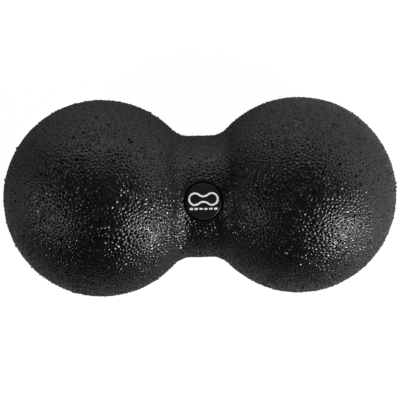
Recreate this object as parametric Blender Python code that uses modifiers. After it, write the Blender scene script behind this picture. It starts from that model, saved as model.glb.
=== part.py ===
"""Twin-lobe massage ball: two foam balls joined by a short neck, with a round badge let into the neck.

Metres, +Z up. The long axis lies along X, the ball rests on Z = 0 with both lobes, and the badge faces up.
"""

import math

import bmesh
import bpy

# Driving dimensions of the foam body.
LOBE_RADIUS = 0.060
LOBE_SPACING = 0.120  # between the lobes' centres, so that the two spheres would just touch
NECK_RADIUS = 0.0373
NECK_FILLET_RADIUS = 0.014
STEPS_ROUND = 48  # flats round the long axis
LOBE_SEGMENTS = 16  # flats along a lobe's outline, from its outer end to a half circle further
FILLET_SEGMENTS = 4

# Driving dimensions of the badge and its pocket.
POCKET_RADIUS = 0.0120
BADGE_RADIUS = 0.0109
BADGE_THICKNESS = 0.0026
BADGE_RIM_ROUNDING = 0.0008
BADGE_SINK = 0.0004  # from the neck's crest down to the badge's face
ADHESIVE_RADIUS = 0.0098
ADHESIVE_THICKNESS = 0.0006
CLEARANCE = 0.0003  # between pieces that touch on the real object
ROUND_SIDES = 64

# Driving dimensions of the print on the badge.
PRINT_THICKNESS = 0.0003
EMBLEM_LINE = 0.0011
EMBLEM_LOBE_RADIUS = 0.0035  # to the middle of the line
EMBLEM_LOBE_SPACING = 0.0100
EMBLEM_WAIST = 0.0032  # from line to line across the waist
EMBLEM_LIFT = 0.0016  # from the badge's centre towards +Y
DASH_COUNT = 6
DASH_LENGTH = 0.0020
DASH_HEIGHT = 0.0012
DASH_CORNER = 0.0004
DASH_SPACING = 0.0029  # from one dash's middle to the next
DASH_DROP = 0.0042  # from the badge's centre towards -Y
ARC_SEGMENTS = 16
CORNER_SEGMENTS = 3

AXIS_HEIGHT = LOBE_RADIUS
NECK_CREST = AXIS_HEIGHT + NECK_RADIUS
BADGE_FACE = NECK_CREST - BADGE_SINK
BADGE_BACK = BADGE_FACE - BADGE_THICKNESS
ADHESIVE_BACK = BADGE_BACK - CLEARANCE - ADHESIVE_THICKNESS
POCKET_FLOOR = ADHESIVE_BACK - CLEARANCE
PRINT_BASE = BADGE_FACE + CLEARANCE


def clear_scene():
    for found in list(bpy.data.objects):
        bpy.data.objects.remove(found, do_unlink=True)


def new_collection(name):
    collection = bpy.data.collections.new(name)
    bpy.context.scene.collection.children.link(collection)
    return collection


def plain_material(name, colour, roughness):
    material = bpy.data.materials.new(name)
    material.use_nodes = True
    shader = material.node_tree.nodes["Principled BSDF"]
    shader.inputs["Base Color"].default_value = (*colour, 1.0)
    shader.inputs["Roughness"].default_value = roughness
    shader.inputs["Metallic"].default_value = 0.0
    return material


def add_object(name, data, collection, material=None):
    made = bpy.data.objects.new(name, data)
    collection.objects.link(made)
    if material is not None:
        data.materials.append(material)
    return made


def arc(centre_x, centre_r, radius, start, end, segments):
    """Points (x, r) along an arc, with angles in radians from the +X direction towards larger r."""
    step = (end - start) / segments
    return [
        (centre_x + radius * math.cos(start + i * step), centre_r + radius * math.sin(start + i * step))
        for i in range(segments + 1)
    ]


def half_outline():
    """One half's outline as (x, r), from the lobe's outer end to the middle of the neck.

    The lobe is a polygon whose flats touch the true circle, with one flat at its widest place, so that a
    lobe stands on a small flat and the overall size is the true one. A fillet joins it to the neck.
    """
    lobe_x = LOBE_SPACING / 2
    fillet_r = NECK_RADIUS + NECK_FILLET_RADIUS
    reach = LOBE_RADIUS + NECK_FILLET_RADIUS  # between the lobe's centre and the fillet's
    fillet_x = lobe_x - math.sqrt(reach**2 - fillet_r**2)
    join = math.atan2(fillet_r, fillet_x - lobe_x)  # where the lobe hands over to the fillet

    flat = math.pi / LOBE_SEGMENTS
    lobe_corner = LOBE_RADIUS / math.cos(flat / 2)
    corners = [(i + 0.5) * flat for i in range(LOBE_SEGMENTS)]
    points = [(lobe_x + LOBE_RADIUS, 0.0)]
    points += [
        (lobe_x + lobe_corner * math.cos(a), lobe_corner * math.sin(a)) for a in corners if a < join - flat / 4
    ]
    points += arc(fillet_x, fillet_r, NECK_FILLET_RADIUS, join - math.pi, -math.pi / 2, FILLET_SEGMENTS)
    return points


def foam_profile():
    """The outline in the XZ plane for a Screw about Z: from the top pole down the outer side to the bottom."""
    half = half_outline()
    whole = half + [(-x, r) for x, r in reversed(half)]
    widen = 1 / math.cos(math.pi / STEPS_ROUND)  # puts the flats round the axis on the true radius
    mesh = bpy.data.meshes.new("foam_body")
    turned = bmesh.new()
    half_step = math.pi / STEPS_ROUND  # so that a flat, and not a ridge, lies at the bottom
    vertices = [
        turned.verts.new((r * widen * math.cos(half_step), r * widen * math.sin(half_step), x)) for x, r in whole
    ]
    for first, second in zip(vertices, vertices[1:]):
        turned.edges.new((first, second))
    turned.to_mesh(mesh)
    turned.free()
    return mesh


def add_pocket_cutter(collection):
    depth = NECK_RADIUS
    disc = round_disc("pocket_cutter", POCKET_RADIUS, depth)
    cutter = add_object("pocket_cutter", disc, collection)
    cutter.location = (0, 0, POCKET_FLOOR + depth / 2)
    cutter.hide_render = True
    cutter.display_type = "WIRE"
    return cutter


def add_foam_body(collection, material, cutter):
    """One turned body: the profile's axis is local Z, which is laid along world X."""
    body = add_object("foam_body", foam_profile(), collection, material)
    body.location = (0, 0, AXIS_HEIGHT)
    body.rotation_euler = (0, math.pi / 2, 0)
    screw = body.modifiers.new("Turn", "SCREW")
    screw.steps = screw.render_steps = STEPS_ROUND
    screw.use_merge_vertices = True
    screw.merge_threshold = 0.00001
    screw.use_smooth_shade = True
    pocket = body.modifiers.new("Badge pocket", "BOOLEAN")
    pocket.operation = "DIFFERENCE"
    pocket.solver = "EXACT"
    pocket.object = cutter
    return body


def round_disc(name, radius, thickness):
    """A cylinder about Z, centred on the origin."""
    mesh = bpy.data.meshes.new(name)
    disc = bmesh.new()
    bmesh.ops.create_cone(
        disc, cap_ends=True, segments=ROUND_SIDES, radius1=radius, radius2=radius, depth=thickness
    )
    disc.to_mesh(mesh)
    disc.free()
    mesh.shade_smooth()
    mesh.set_sharp_from_angle(angle=math.radians(40))
    return mesh


def add_badge_disc(collection, material):
    disc = round_disc("badge_disc", BADGE_RADIUS, BADGE_THICKNESS)
    badge = add_object("badge_disc", disc, collection, material)
    badge.location = (0, 0, BADGE_FACE - BADGE_THICKNESS / 2)
    rounding = badge.modifiers.new("Rounded rim", "BEVEL")
    rounding.width = BADGE_RIM_ROUNDING
    rounding.segments = 3
    rounding.limit_method = "ANGLE"
    rounding.angle_limit = math.radians(60)


def add_badge_adhesive(collection, material):
    disc = round_disc("badge_adhesive", ADHESIVE_RADIUS, ADHESIVE_THICKNESS)
    adhesive = add_object("badge_adhesive", disc, collection, material)
    adhesive.location = (0, 0, ADHESIVE_BACK + ADHESIVE_THICKNESS / 2)


def flat_curve(name, outlines):
    """A flat plate of the print's thickness, from closed outlines of (x, y) points; inner ones are holes."""
    curve = bpy.data.curves.new(name, "CURVE")
    curve.dimensions = "2D"
    curve.fill_mode = "BOTH"
    curve.extrude = PRINT_THICKNESS / 2
    for outline in outlines:
        spline = curve.splines.new("POLY")
        spline.points.add(len(outline) - 1)
        for point, (x, y) in zip(spline.points, outline):
            point.co = (x, y, 0, 1)
        spline.use_cyclic_u = True
    return curve


def twin_ball_outline(offset):
    """The outline of a twin ball seen from the side, moved outwards by the offset from its middle line.

    Each lobe's arc hands over to a round waist, whose centre lies above or below the middle.
    """
    lobe_x = EMBLEM_LOBE_SPACING / 2
    half_waist = EMBLEM_WAIST / 2
    lobe = EMBLEM_LOBE_RADIUS
    waist = (half_waist**2 + lobe_x**2 - lobe**2) / (2 * lobe - EMBLEM_WAIST)
    waist_y = half_waist + waist
    join = math.atan2(waist_y, -lobe_x)
    right = arc(lobe_x, 0, lobe + offset, -join, join, ARC_SEGMENTS)
    top = arc(0, waist_y, waist - offset, join - math.pi, -join, ARC_SEGMENTS // 2)
    half = right + top[1:-1]
    return half + [(-x, -y) for x, y in half]


def emblem_outlines():
    """A line round a twin ball: its outer outline, and its inner one as a hole."""
    return [twin_ball_outline(EMBLEM_LINE / 2), twin_ball_outline(-EMBLEM_LINE / 2)]


def dash_outline():
    """A short dash with rounded corners."""
    corner_x = DASH_LENGTH / 2 - DASH_CORNER
    corner_y = DASH_HEIGHT / 2 - DASH_CORNER
    upper = arc(corner_x, corner_y, DASH_CORNER, 0, math.pi / 2, CORNER_SEGMENTS)
    upper += arc(-corner_x, corner_y, DASH_CORNER, math.pi / 2, math.pi, CORNER_SEGMENTS)
    return upper + [(-x, -y) for x, y in upper]


def add_print(name, outlines, middle, collection, material):
    printed = add_object(name, flat_curve(name, outlines), collection, material)
    printed.location = (*middle, PRINT_BASE + PRINT_THICKNESS / 2)


def add_dashes(collection, material):
    for i in range(DASH_COUNT):
        middle = ((i - (DASH_COUNT - 1) / 2) * DASH_SPACING, -DASH_DROP)
        add_print(f"badge_print_dash_{i + 1}", [dash_outline()], middle, collection, material)


def build():
    clear_scene()
    parts = new_collection("massage_ball")
    cutters = new_collection("cutters")
    foam = plain_material("foam", (0.018, 0.018, 0.019), 0.5)
    badge = plain_material("badge_plastic", (0.008, 0.008, 0.009), 0.45)
    glue = plain_material("adhesive", (0.55, 0.53, 0.47), 0.8)
    ink = plain_material("print_ink", (0.85, 0.85, 0.85), 0.6)

    add_foam_body(parts, foam, add_pocket_cutter(cutters))
    add_badge_adhesive(parts, glue)
    add_badge_disc(parts, badge)
    add_print("badge_print_emblem", emblem_outlines(), (0, EMBLEM_LIFT), parts, ink)
    add_dashes(parts, ink)


build()
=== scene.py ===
import math

import bmesh
import bpy
import numpy as np
from mathutils import Matrix, Vector, kdtree


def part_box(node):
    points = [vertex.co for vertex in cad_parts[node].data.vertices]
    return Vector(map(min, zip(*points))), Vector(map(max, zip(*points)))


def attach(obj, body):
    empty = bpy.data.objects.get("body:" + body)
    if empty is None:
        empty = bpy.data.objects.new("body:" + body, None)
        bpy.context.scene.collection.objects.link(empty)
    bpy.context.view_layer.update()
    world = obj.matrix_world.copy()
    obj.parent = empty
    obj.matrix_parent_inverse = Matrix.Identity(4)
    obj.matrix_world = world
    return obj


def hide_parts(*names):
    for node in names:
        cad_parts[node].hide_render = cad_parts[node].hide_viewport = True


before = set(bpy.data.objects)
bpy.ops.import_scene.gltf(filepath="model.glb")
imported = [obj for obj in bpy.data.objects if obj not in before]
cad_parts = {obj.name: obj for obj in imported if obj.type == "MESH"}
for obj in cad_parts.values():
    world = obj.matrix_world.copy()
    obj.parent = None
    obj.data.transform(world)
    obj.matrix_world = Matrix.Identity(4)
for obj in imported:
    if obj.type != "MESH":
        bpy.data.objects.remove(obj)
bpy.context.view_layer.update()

# ---------------------------------------------------------------------------
# Foam body
# One steam-moulded piece of black expanded bead foam: two balls and the neck between them.
# The beads swell against the polished mould and fuse, so that each shows as a low dome with a crease
# round it. Where beads meet badly a void stays open, and a few beads rise into the mould's steam vents.
# ---------------------------------------------------------------------------

body_low, body_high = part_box("foam_body")
LOBE_RADIUS = (body_high.z - body_low.z) / 2
LOBE_X = (body_high.x - body_low.x) / 2 - LOBE_RADIUS  # from the middle to a lobe's centre
AXIS_HEIGHT = (body_high.z + body_low.z) / 2
NECK_RADIUS = 0.622 * LOBE_RADIUS
FILLET_RADIUS = 0.233 * LOBE_RADIUS  # where a lobe runs into the neck

SKIN_VOXEL = 0.00040
BEAD_SPACING = 0.0024
BEAD_NEIGHBOURS = 7
BEAD_PUSH_REACH = 1.2 * BEAD_SPACING  # within which two beads push each other apart
BEAD_SWELL = 0.00045  # how far a bead outgrows its neighbours, or they outgrow it
BEAD_HEIGHT = 0.00040
BEAD_HEIGHT_SPREAD = (0.5, 1.35)  # the lowest and the highest bead, of the height
BEAD_SHOULDER = 0.00095  # from the crease to where a bead's top is flat
BEAD_TILT = 0.10  # how far a bead's face leans, as a slope
CREASE_WIDTH = 0.00005
# in the creases: how much rougher the skin is, and how far its colour is painted darker as shade
CREASE_ROUGHNESS_AND_SHADE = 0.5
VOID_SHARE = 0.016  # of the places where three beads meet
VOID_DEPTH = 0.0028
VOID_REACH = 0.0016
VOID_SPREAD = 0.4  # how much smaller the smallest void is than the largest
PIP_SHARE = 0.012  # of the beads
PIP_HEIGHT = 0.00065
PIP_RADIUS = 0.0008
WAVE_HEIGHT = 0.00012
WAVE_LENGTHS = (0.018, 0.05)
WAVE_COUNT = 12
SKIN_SINK = 1.1 * BEAD_HEIGHT  # keeps the beads' tops at the body's size

fillet_r = NECK_RADIUS + FILLET_RADIUS
fillet_x = LOBE_X - math.sqrt((LOBE_RADIUS + FILLET_RADIUS) ** 2 - fillet_r**2)
join_angle = math.atan2(fillet_r, fillet_x - LOBE_X)  # where the lobe hands over to the fillet


def arc(centre_x, centre_y, radius, start, end, segments):
    """Points (x, y) along an arc, with its angles in radians."""
    angles = [start + (end - start) * i / segments for i in range(segments + 1)]
    return [(centre_x + radius * math.cos(a), centre_y + radius * math.sin(a)) for a in angles]


def turned(name, points, centre, axis, steps):
    """A closed body: a profile from pole to pole, spun round an axis."""
    bm = bmesh.new()
    verts = [bm.verts.new(point) for point in points]
    edges = [bm.edges.new(pair) for pair in zip(verts, verts[1:])]
    bmesh.ops.spin(
        bm, geom=verts + edges, axis=axis, cent=centre, angle=2 * math.pi, steps=steps, use_merge=True
    )
    bmesh.ops.remove_doubles(bm, verts=bm.verts, dist=1e-6)
    bmesh.ops.recalc_face_normals(bm, faces=bm.faces)
    mesh = bpy.data.meshes.new(name)
    bm.to_mesh(mesh)
    bm.free()
    return mesh


def body_profile():
    """Half the body's outline, mirrored across the neck, over the long axis."""
    half = arc(LOBE_X, 0, LOBE_RADIUS, 0, join_angle, 60)
    half += arc(fillet_x, fillet_r, FILLET_RADIUS, join_angle - math.pi, -math.pi / 2, 8)[1:]
    return [(x, 0, AXIS_HEIGHT + r) for x, r in half + [(-x, r) for x, r in reversed(half)]]


def on_surface(points):
    """The nearest points of the smooth body's surface, and its normals there."""
    x = np.abs(points[:, 0])
    r = np.hypot(points[:, 1], points[:, 2] - AXIS_HEIGHT)
    lobe = np.stack([x - LOBE_X, r], 1)
    lobe /= np.linalg.norm(lobe, axis=1, keepdims=True)
    fillet = np.stack([fillet_x - x, fillet_r - r], 1)
    fillet /= np.linalg.norm(fillet, axis=1, keepdims=True)
    on_lobe = np.arctan2(r, x - LOBE_X) <= join_angle
    on_neck = ~on_lobe & (x < fillet_x)
    normal = np.where(on_lobe[:, None], lobe, fillet)
    normal[on_neck] = (0, 1)
    place = np.where(
        on_lobe[:, None],
        (LOBE_X, 0) + LOBE_RADIUS * lobe,
        (fillet_x, fillet_r) - FILLET_RADIUS * fillet,
    )
    place[on_neck] = np.stack([x, np.full_like(x, NECK_RADIUS)], 1)[on_neck]
    side = np.where(points[:, 0] < 0, -1.0, 1.0)
    turn = np.stack([points[:, 1], points[:, 2] - AXIS_HEIGHT], 1) / r[:, None]
    surface = np.column_stack([side * place[:, 0], place[:, 1:] * turn])
    surface[:, 2] += AXIS_HEIGHT
    normals = np.column_stack([side * normal[:, 0], normal[:, 1:] * turn])
    return surface, normals


def nearest(points, among, count):
    """For each point, the indices and distances of the nearest count points among the others."""
    tree = kdtree.KDTree(len(among))
    for i, place in enumerate(among.tolist()):
        tree.insert(place, i)
    tree.balance()
    found = np.array([[(i, d) for _, i, d in tree.find_n(place, count)] for place in points.tolist()])
    return found[:, :, 0].astype(int), found[:, :, 1]


def scattered_beads(mesh, places, seed, rounds):
    """Bead centres on the body's surface: random points of the mesh, which push each other apart."""
    rng = np.random.default_rng(seed)
    area_of_one = 0.866 * BEAD_SPACING**2  # as in a honeycomb
    count = int(sum(face.area for face in mesh.polygons) / area_of_one)
    points = places[rng.choice(len(places), count, replace=False)]
    for _ in range(rounds):
        near = nearest(points, points, BEAD_NEIGHBOURS + 1)[0][:, 1:]
        away = points[:, None] - points[near]
        far = np.linalg.norm(away, axis=2, keepdims=True)
        push = np.clip(1.0 - far / BEAD_PUSH_REACH, 0, None) * away / np.maximum(far, 1e-9)
        points = on_surface(points + 0.5 * BEAD_SPACING * push.sum(axis=1))[0]
    return points


def smooth_step(low, high, value):
    t = np.clip((value - low) / (high - low), 0, 1)
    return t * t * (3 - 2 * t)


def bead_relief(points, beads, seed):
    """Height over the smooth surface, a mask from 0 to 1 of roughness and painted shade, and a tone for
    each bead.
    """
    rng = np.random.default_rng(seed)
    which, far = nearest(points, beads, 4)
    far -= rng.uniform(-BEAD_SWELL, BEAD_SWELL, len(beads))[which]
    order = np.argsort(far, axis=1)[:, :3]
    which = np.take_along_axis(which, order, axis=1)
    far = np.take_along_axis(far, order, axis=1)
    own = which[:, 0]
    crease = np.full(len(points), np.inf)
    for other in (1, 2):
        apart = np.linalg.norm(beads[own] - beads[which[:, other]], axis=1)
        crease = np.minimum(crease, (far[:, other] ** 2 - far[:, 0] ** 2) / (2 * apart))
    rise = smooth_step(CREASE_WIDTH, BEAD_SHOULDER, crease)
    size = rng.uniform(*BEAD_HEIGHT_SPREAD, len(beads))[own]
    lean = rng.normal(0, BEAD_TILT, (len(beads), 3))[own]
    tilt = ((points - beads[own]) * lean).sum(axis=1)
    height = (BEAD_HEIGHT * size + tilt) * rise
    lot = which.sum(axis=1) * 7919 % 1000 / 1000  # from 0 to 1, the same all round a meeting of three beads
    wide = np.where(lot < VOID_SHARE, 1 - VOID_SPREAD * lot / VOID_SHARE, 0)
    reach = VOID_REACH * np.maximum(wide, 1 - VOID_SPREAD)
    void = wide * (1 - smooth_step(0, 1, (far[:, 2] - far[:, 0]) / reach))
    has_pip = rng.uniform(0, 1, len(beads)) < PIP_SHARE
    pip = has_pip[own] * (1 - smooth_step(0.5, 1, far[:, 0] / PIP_RADIUS))
    height += PIP_HEIGHT * pip - VOID_DEPTH * void
    tone = rng.uniform(0, 1, len(beads))[own]
    # The skin is rougher in the creases, the voids and on the pips, and its colour is painted darker there
    # as shade.
    rough = np.maximum.reduce([CREASE_ROUGHNESS_AND_SHADE * (1 - rise), void, pip])
    return height, rough, tone


def waves(points, seed):
    """Slow unevenness of the mould and the foam, mostly from -1 to 1."""
    rng = np.random.default_rng(seed)
    total = np.zeros(len(points))
    for _ in range(WAVE_COUNT):
        direction = rng.normal(0, 1, 3)
        direction *= 2 * math.pi / (rng.uniform(*WAVE_LENGTHS) * np.linalg.norm(direction))
        total += np.sin(points @ direction + rng.uniform(0, 2 * math.pi))
    return total / (WAVE_COUNT / 2)


SHEET_REACH = 2.65  # radians round a lobe's centre, from its outer end to the pocket's floor
SHEET_MARGIN = 0.005
SHEET_WIDTH = 0.97  # the rest is room for the faces that cross the seam


def unroll(mesh):
    """A UV map of the skin as one sheet: round the long axis, with its seam underneath, and along it."""
    points = np.empty(len(mesh.vertices) * 3, np.float32)
    mesh.vertices.foreach_get("co", points)
    x, y, z = points.reshape(-1, 3).T
    corners = np.empty(len(mesh.loops), np.int32)
    mesh.loops.foreach_get("vertex_index", corners)
    starts = np.empty(len(mesh.polygons), np.int32)
    mesh.polygons.foreach_get("loop_start", starts)
    past_end = np.arctan2(np.hypot(y, z - AXIS_HEIGHT), np.abs(x) - LOBE_X) / SHEET_REACH
    along = 0.5 + (0.5 - SHEET_MARGIN) * np.sign(x) * (1 - past_end)
    around = (np.arctan2(y, z - AXIS_HEIGHT) / (2 * math.pi) + 0.5)[corners]
    highest = np.repeat(np.maximum.reduceat(around, starts), np.diff(starts, append=len(corners)))
    around += highest - around > 0.5  # a face that crosses the seam stays whole
    sheet = np.column_stack([SHEET_MARGIN + SHEET_WIDTH * around, along[corners]]).astype(np.float32)
    mesh.uv_layers.new(name="OFBake").data.foreach_set("uv", sheet.ravel())


def applied(piece):
    """The piece with its modifiers made part of its mesh."""
    finished = bpy.data.meshes.new_from_object(piece.evaluated_get(bpy.context.evaluated_depsgraph_get()))
    piece.modifiers.clear()
    piece.data = finished
    return piece


def add_piece(name, mesh, slot, *nodes):
    piece = bpy.data.objects.new(name, mesh)
    bpy.context.scene.collection.objects.link(piece)
    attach(piece, "root")
    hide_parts(*nodes)
    return piece


POCKET_RADIUS = 0.2 * LOBE_RADIUS
PAD_GAP = 0.0003  # between the pocket's floor and the adhesive pad
POCKET_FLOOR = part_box("badge_adhesive")[0].z - PAD_GAP
POCKET_CUT = 0.04  # deeper than the pocket, so that the cutter comes out of the neck
POCKET_LIP = 0.0009  # how far out the pocket's rounded edge reaches
POCKET_LIP_DROP = 0.00035
# round the pocket's lip: how much rougher the skin is, and how far its colour is painted darker as shade
POCKET_LIP_ROUGHNESS_AND_SHADE = 0.8

body = turned("foam_skin", body_profile(), (0, 0, AXIS_HEIGHT), (1, 0, 0), 180)
foam = add_piece("foam_skin", body, "foam_skin", "foam_body")
remesh = foam.modifiers.new("Even mesh", "REMESH")
remesh.mode = "VOXEL"
remesh.voxel_size = SKIN_VOXEL
applied(foam)
places = np.empty(len(foam.data.vertices) * 3, np.float32)
foam.data.vertices.foreach_get("co", places)
places, normals = on_surface(places.reshape(-1, 3).astype(float))
beads = scattered_beads(foam.data, places, seed=11, rounds=4)
relief, rough, tone = bead_relief(places, beads, seed=12)
relief += WAVE_HEIGHT * waves(places, seed=13) - SKIN_SINK
to_pocket = np.hypot(places[:, 0], places[:, 1])
to_pocket[places[:, 2] < AXIS_HEIGHT] = LOBE_RADIUS  # the underside has no pocket
lip = smooth_step(POCKET_RADIUS, POCKET_RADIUS + POCKET_LIP, to_pocket)
relief = relief * lip - POCKET_LIP_DROP * (1 - lip)
# The pocket's lip is rougher too, and its colour is painted darker there as shade.
rough = np.maximum(rough, POCKET_LIP_ROUGHNESS_AND_SHADE * (1 - lip))
places += normals * relief[:, None]
foam.data.vertices.foreach_set("co", places.astype(np.float32).ravel())
# The mask of roughness and painted shade, and the bead tone, go to the material as attributes.
for label, values in (("rough", rough), ("tone", tone)):
    foam.data.attributes.new(label, "FLOAT", "POINT").data.foreach_set("value", values.astype(np.float32))

bm = bmesh.new()
bmesh.ops.create_cone(
    bm, cap_ends=True, segments=128, radius1=POCKET_RADIUS, radius2=POCKET_RADIUS, depth=POCKET_CUT
)
bmesh.ops.translate(bm, verts=bm.verts, vec=(0, 0, POCKET_FLOOR + POCKET_CUT / 2))
pocket_mesh = bpy.data.meshes.new("pocket_cutter")
bm.to_mesh(pocket_mesh)
bm.free()
cutter = bpy.data.objects.new("pocket_cutter", pocket_mesh)
bpy.context.scene.collection.objects.link(cutter)
cut = foam.modifiers.new("Badge pocket", "BOOLEAN")
cut.operation = "DIFFERENCE"
cut.solver = "MANIFOLD"
cut.object = cutter
applied(foam)
bpy.data.objects.remove(cutter)
foam.data.shade_smooth()
foam.data.set_sharp_from_angle(angle=math.radians(60))
unroll(foam.data)


class Wire:
    """An output socket in a node tree, which can be added and multiplied as a number can."""

    def __init__(self, tree, socket=None):
        self.tree = tree
        self.socket = socket

    def node(self, kind, settings=None, sockets=None, output=0):
        made = self.tree.nodes.new(kind)
        for name, value in (settings or {}).items():
            setattr(made, name, value)
        for name, value in (sockets or {}).items():
            if isinstance(value, Wire):
                self.tree.links.new(value.socket, made.inputs[name])
            else:
                made.inputs[name].default_value = value
        return Wire(self.tree, made.outputs[output])

    def __add__(self, other):
        return self.node("ShaderNodeMath", {"operation": "ADD"}, {0: self, 1: other})

    def __mul__(self, other):
        return self.node("ShaderNodeMath", {"operation": "MULTIPLY"}, {0: self, 1: other})

    __radd__ = __add__
    __rmul__ = __mul__


def new_material(name):
    """A material's tree as a Wire, and its Principled shader."""
    material = bpy.data.materials.new(name)
    material.use_nodes = True
    return material, Wire(material.node_tree), material.node_tree.nodes["Principled BSDF"]


def connect(wire, shader, socket):
    wire.tree.links.new(wire.socket, shader.inputs[socket])


CRUMPLE_HEIGHT = 0.00014
FOAM_SPECULAR = 0.34  # the skin is finely pitted, so that it shines less than solid plastic


def foam_material():
    material, tree, shader = new_material("black_bead_foam")
    place = tree.node("ShaderNodeTexCoord", output="Object")
    rough = tree.node("ShaderNodeAttribute", {"attribute_name": "rough"}, output="Fac")
    tone = tree.node("ShaderNodeAttribute", {"attribute_name": "tone"}, output="Fac")
    grain = tree.node("ShaderNodeTexNoise", None, {"Vector": place, "Scale": 2200.0, "Detail": 3.0})
    # Painted shade: the base colour is darker where the mask is high, in the creases, the voids, on the
    # pips and round the pocket's lip.
    colour = tree.node(
        "ShaderNodeMix", {"data_type": "RGBA"},
        {0: rough, 6: (0.0035, 0.0035, 0.0037, 1), 7: (0.0012, 0.0012, 0.0013, 1)}, output=2,
    )
    connect(colour, shader, "Base Color")
    connect(0.10 + 0.08 * tone + 0.72 * rough * rough + 0.05 * grain, shader, "Roughness")
    crumple = tree.node("ShaderNodeTexNoise", None, {"Vector": place, "Scale": 850.0, "Detail": 1.0})
    skin = tree.node(
        "ShaderNodeBump", None, {"Height": crumple, "Strength": 1.0, "Distance": CRUMPLE_HEIGHT}
    )
    bump = tree.node(
        "ShaderNodeBump", None, {"Height": grain, "Strength": 0.12, "Distance": 0.0001, "Normal": skin}
    )
    connect(bump, shader, "Normal")
    shader.inputs["Specular IOR Level"].default_value = FOAM_SPECULAR
    return material


foam.data.materials.clear()  # of the empty slots that the cut can leave
foam.data.materials.append(foam_material())

# ---------------------------------------------------------------------------
# Adhesive pad
# A round of double-sided foam tape on the pocket's floor, which holds the badge. Its cut edge is
# pressed a little round.
# ---------------------------------------------------------------------------

TAPE_RIM = 0.0002


def disc_profile(low, high, radius, rim, segments):
    """A disc's outline from the middle of its top to the middle of its foot, with both edges rounded."""
    upper = arc(radius - rim, high - rim, rim, math.pi / 2, 0, segments)
    lower = arc(radius - rim, low + rim, rim, 0, -math.pi / 2, segments)
    return [(x, 0, z) for x, z in [(0, high)] + upper + lower + [(0, low)]]


def add_disc(name, node, rim, slot, material):
    low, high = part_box(node)
    profile = disc_profile(low.z, high.z, (high.x - low.x) / 2, rim, 8)
    disc = add_piece(name, turned(name, profile, (0, 0, 0), (0, 0, 1), 128), slot, node)
    disc.data.shade_smooth()
    disc.data.materials.append(material)


def tape_material():
    material, tree, shader = new_material("foam_tape")
    place = tree.node("ShaderNodeTexCoord", output="Object")
    cells = tree.node("ShaderNodeTexVoronoi", None, {"Vector": place, "Scale": 2500.0})
    colour = tree.node(
        "ShaderNodeMix", {"data_type": "RGBA"},
        {0: cells, 6: (0.60, 0.58, 0.52, 1), 7: (0.45, 0.43, 0.38, 1)}, output=2,
    )
    connect(colour, shader, "Base Color")
    connect(0.70 + 0.20 * cells, shader, "Roughness")
    return material


add_disc("adhesive_pad", "badge_adhesive", TAPE_RIM, "adhesive_pad", tape_material())

# ---------------------------------------------------------------------------
# Badge
# A moulded disc of satin black plastic with a rounded rim. It is pressed onto the pad in the pocket,
# with its face just below the foam round it.
# ---------------------------------------------------------------------------

BADGE_RIM = 0.0008
BADGE_SPECULAR = 0.3


def badge_material():
    material, tree, shader = new_material("satin_black_plastic")
    place = tree.node("ShaderNodeTexCoord", output="Object")
    spark = tree.node("ShaderNodeTexNoise", None, {"Vector": place, "Scale": 3500.0, "Detail": 2.0})
    smear = tree.node("ShaderNodeTexNoise", None, {"Vector": place, "Scale": 160.0, "Detail": 2.0})
    colour = tree.node(
        "ShaderNodeMix", {"data_type": "RGBA"},
        {0: smear, 6: (0.0030, 0.0030, 0.0032, 1), 7: (0.0055, 0.0055, 0.0058, 1)}, output=2,
    )
    connect(colour, shader, "Base Color")
    connect(0.34 + 0.12 * smear, shader, "Roughness")
    bump = tree.node("ShaderNodeBump", None, {"Height": spark, "Strength": 0.25, "Distance": 0.00006})
    connect(bump, shader, "Normal")
    shader.inputs["Specular IOR Level"].default_value = BADGE_SPECULAR
    return material


add_disc("badge", "badge_disc", BADGE_RIM, "badge_plastic", badge_material())

# ---------------------------------------------------------------------------
# Print on the badge
# White ink laid on the badge's face: a line round a twin ball, and a row of six dashes under it.
# Each patch of ink is thin and has a softly rounded edge.
# ---------------------------------------------------------------------------

BADGE_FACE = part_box("badge_disc")[1].z
INK_THICKNESS = 0.00010
INK_SUNK = 0.00002
INK_EDGE = 0.00004


def ink_patch(node):
    """The outline that the frame gives, as a thin plate on the badge's face."""
    low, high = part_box(node)
    bm = bmesh.new()
    bm.from_mesh(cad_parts[node].data)  # a copy, which leaves the node as it is
    bmesh.ops.remove_doubles(bm, verts=bm.verts, dist=1e-6)
    for vert in bm.verts:
        top = vert.co.z > (low.z + high.z) / 2
        vert.co.z = BADGE_FACE + (INK_THICKNESS if top else -INK_SUNK)
    bmesh.ops.dissolve_limit(bm, angle_limit=0.01, verts=bm.verts, edges=bm.edges)
    rim = [e for e in bm.edges if all(v.co.z > BADGE_FACE for v in e.verts) and e.calc_face_angle(0) > 1]
    bmesh.ops.bevel(bm, geom=rim, offset=INK_EDGE, segments=2, profile=0.5, affect="EDGES", material=-1)
    mesh = bpy.data.meshes.new(node)
    bm.to_mesh(mesh)
    bm.free()
    mesh.shade_smooth()
    mesh.set_sharp_from_angle(angle=math.radians(35))
    return mesh


def ink_material():
    material, tree, shader = new_material("white_ink")
    place = tree.node("ShaderNodeTexCoord", output="Object")
    mottle = tree.node("ShaderNodeTexNoise", None, {"Vector": place, "Scale": 900.0, "Detail": 4.0})
    colour = tree.node(
        "ShaderNodeMix", {"data_type": "RGBA"},
        {0: mottle, 6: (0.86, 0.86, 0.86, 1), 7: (0.76, 0.76, 0.77, 1)}, output=2,
    )
    connect(colour, shader, "Base Color")
    connect(0.40 + 0.20 * mottle, shader, "Roughness")
    bump = tree.node("ShaderNodeBump", None, {"Height": mottle, "Strength": 0.15, "Distance": 0.00005})
    connect(bump, shader, "Normal")
    return material


ink = ink_material()
for node in sorted(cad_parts):
    if node.startswith("badge_print_"):
        patch = add_piece(node.replace("badge_", ""), ink_patch(node), "white_print", node)
        patch.data.materials.append(ink)

# ---------------------------------------------------------------------------
# Stage
# A plain pale floor, soft studio lights and the camera over the ball.
# ---------------------------------------------------------------------------

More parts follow.
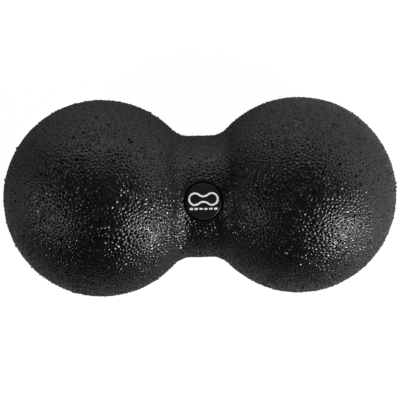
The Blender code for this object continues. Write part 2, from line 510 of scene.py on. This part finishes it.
FLOOR_GREY = 0.34  # as the ball and the lights see it
FLOOR_WHITENESS = 0.84  # how far the floor is lifted to plain white where the camera sees it
FLOOR_GLOW = 1.16
SKY_LIGHT = 0.03

floor_mesh = bpy.data.meshes.new("floor")
bm = bmesh.new()
bmesh.ops.create_grid(bm, x_segments=1, y_segments=1, size=6)
bm.to_mesh(floor_mesh)
bm.free()
floor = bpy.data.objects.new("floor", floor_mesh)
bpy.context.scene.collection.objects.link(floor)
floor_material, floor_tree, floor_shader = new_material("pale_floor")
floor_shader.inputs["Base Color"].default_value = (FLOOR_GREY, FLOOR_GREY, FLOOR_GREY, 1)
floor_shader.inputs["Roughness"].default_value = 0.9
floor_shader.inputs["Specular IOR Level"].default_value = 0.0
seen = floor_tree.node("ShaderNodeLightPath", output="Is Camera Ray") * FLOOR_WHITENESS
white = floor_tree.node("ShaderNodeEmission", None, {"Color": (1, 1, 1, 1), "Strength": FLOOR_GLOW})
lit = Wire(floor_material.node_tree, floor_shader.outputs["BSDF"])
whitened = floor_tree.node("ShaderNodeMixShader", None, {0: seen, 1: lit, 2: white})
connect(whitened, floor_material.node_tree.nodes["Material Output"], "Surface")
floor_mesh.materials.append(floor_material)

BALL_CENTRE = Vector((0, 0, AXIS_HEIGHT))


def soft_light(name, azimuth, elevation, distance, size, power):
    """A square softbox that faces the ball: angles in degrees, with the azimuth from +X towards +Y."""
    light = bpy.data.lights.new(name, "AREA")
    light.shape = "SQUARE"
    light.size = size
    light.energy = power
    lamp = bpy.data.objects.new(name, light)
    level, turned_by = math.radians(elevation), math.radians(azimuth)
    flat = math.cos(level)
    away = Vector((math.cos(turned_by) * flat, math.sin(turned_by) * flat, math.sin(level)))
    lamp.location = BALL_CENTRE + away * distance
    lamp.rotation_euler = (-away).to_track_quat("-Z", "Y").to_euler()
    lamp.visible_camera = False
    bpy.context.scene.collection.objects.link(lamp)
    return lamp


soft_light("key", 321, 34, 1.0, 0.20, 9.2)
soft_light("key_low", 326, 12, 1.0, 0.28, 2.0)
soft_light("side_left", 203, 34, 1.0, 0.13, 1.8)
soft_light("rim_0", 355, 10, 1.2, 0.60, 2.6)
soft_light("rim_30", 30, 20, 1.2, 0.50, 2.8)
soft_light("rim_60", 60, 20, 1.2, 0.50, 1.6)
soft_light("rim_90", 90, 22, 1.2, 0.50, 2.5)
soft_light("rim_120", 120, 20, 1.2, 0.50, 1.8)
soft_light("rim_180", 180, 10, 1.2, 0.60, 1.9)
soft_light("top", 90, 70, 1.2, 0.60, 0.5)


def floor_light(name, azimuth, wide, deep, power):
    """A light over the floor beside the ball, with a grid, so that it lights only the floor."""
    lamp = soft_light(name, azimuth, 50, 0.8, wide, power)
    lamp.rotation_euler = (0, 0, 0)
    lamp.data.shape = "RECTANGLE"
    lamp.data.size_y = deep
    lamp.data.spread = math.radians(30)


floor_light("floor_behind", 92, 1.2, 0.6, 4.0)
floor_light("floor_right", 5, 0.6, 0.8, 1.6)

world = bpy.data.worlds.new("studio")
bpy.context.scene.world = world
world.use_nodes = True
sky = Wire(world.node_tree)
ray = sky.node("ShaderNodeLightPath", output="Is Camera Ray")
dim = sky.node("ShaderNodeBackground", None, {"Color": (1, 1, 1, 1), "Strength": SKY_LIGHT})
pale = sky.node("ShaderNodeBackground", None, {"Color": (1, 1, 1, 1), "Strength": 1.0})
both = sky.node("ShaderNodeMixShader", None, {0: ray, 1: dim, 2: pale})
world.node_tree.links.new(both.socket, world.node_tree.nodes["World Output"].inputs["Surface"])

CAMERA_DISTANCE = 1.1
CAMERA_LENS = 161.9
CAMERA_AIM = (-0.00022, -0.0022)  # from the ball's centre, across and up the view
CAMERA_YAW = math.radians(-2.75)
CAMERA_TILT = math.radians(5.1)
CAMERA_ROLL = math.radians(1.06)

camera_data = bpy.data.cameras.new("camera")
camera_data.lens = CAMERA_LENS
camera_data.sensor_width = 36
camera = bpy.data.objects.new("camera", camera_data)
bpy.context.scene.collection.objects.link(camera)
bpy.context.scene.camera = camera
towards = Vector((math.sin(CAMERA_YAW), math.sin(CAMERA_TILT), 1)).normalized()
across = Vector((math.cos(CAMERA_ROLL), -math.sin(CAMERA_ROLL), 0))
across = (across - across.dot(towards) * towards).normalized()
up = towards.cross(across)
aim = BALL_CENTRE + CAMERA_AIM[0] * across + CAMERA_AIM[1] * up
turn = Matrix((across, up, towards)).transposed().to_4x4()
camera.matrix_world = Matrix.Translation(aim + towards * CAMERA_DISTANCE) @ turn

bpy.context.scene.view_settings.view_transform = "Standard"
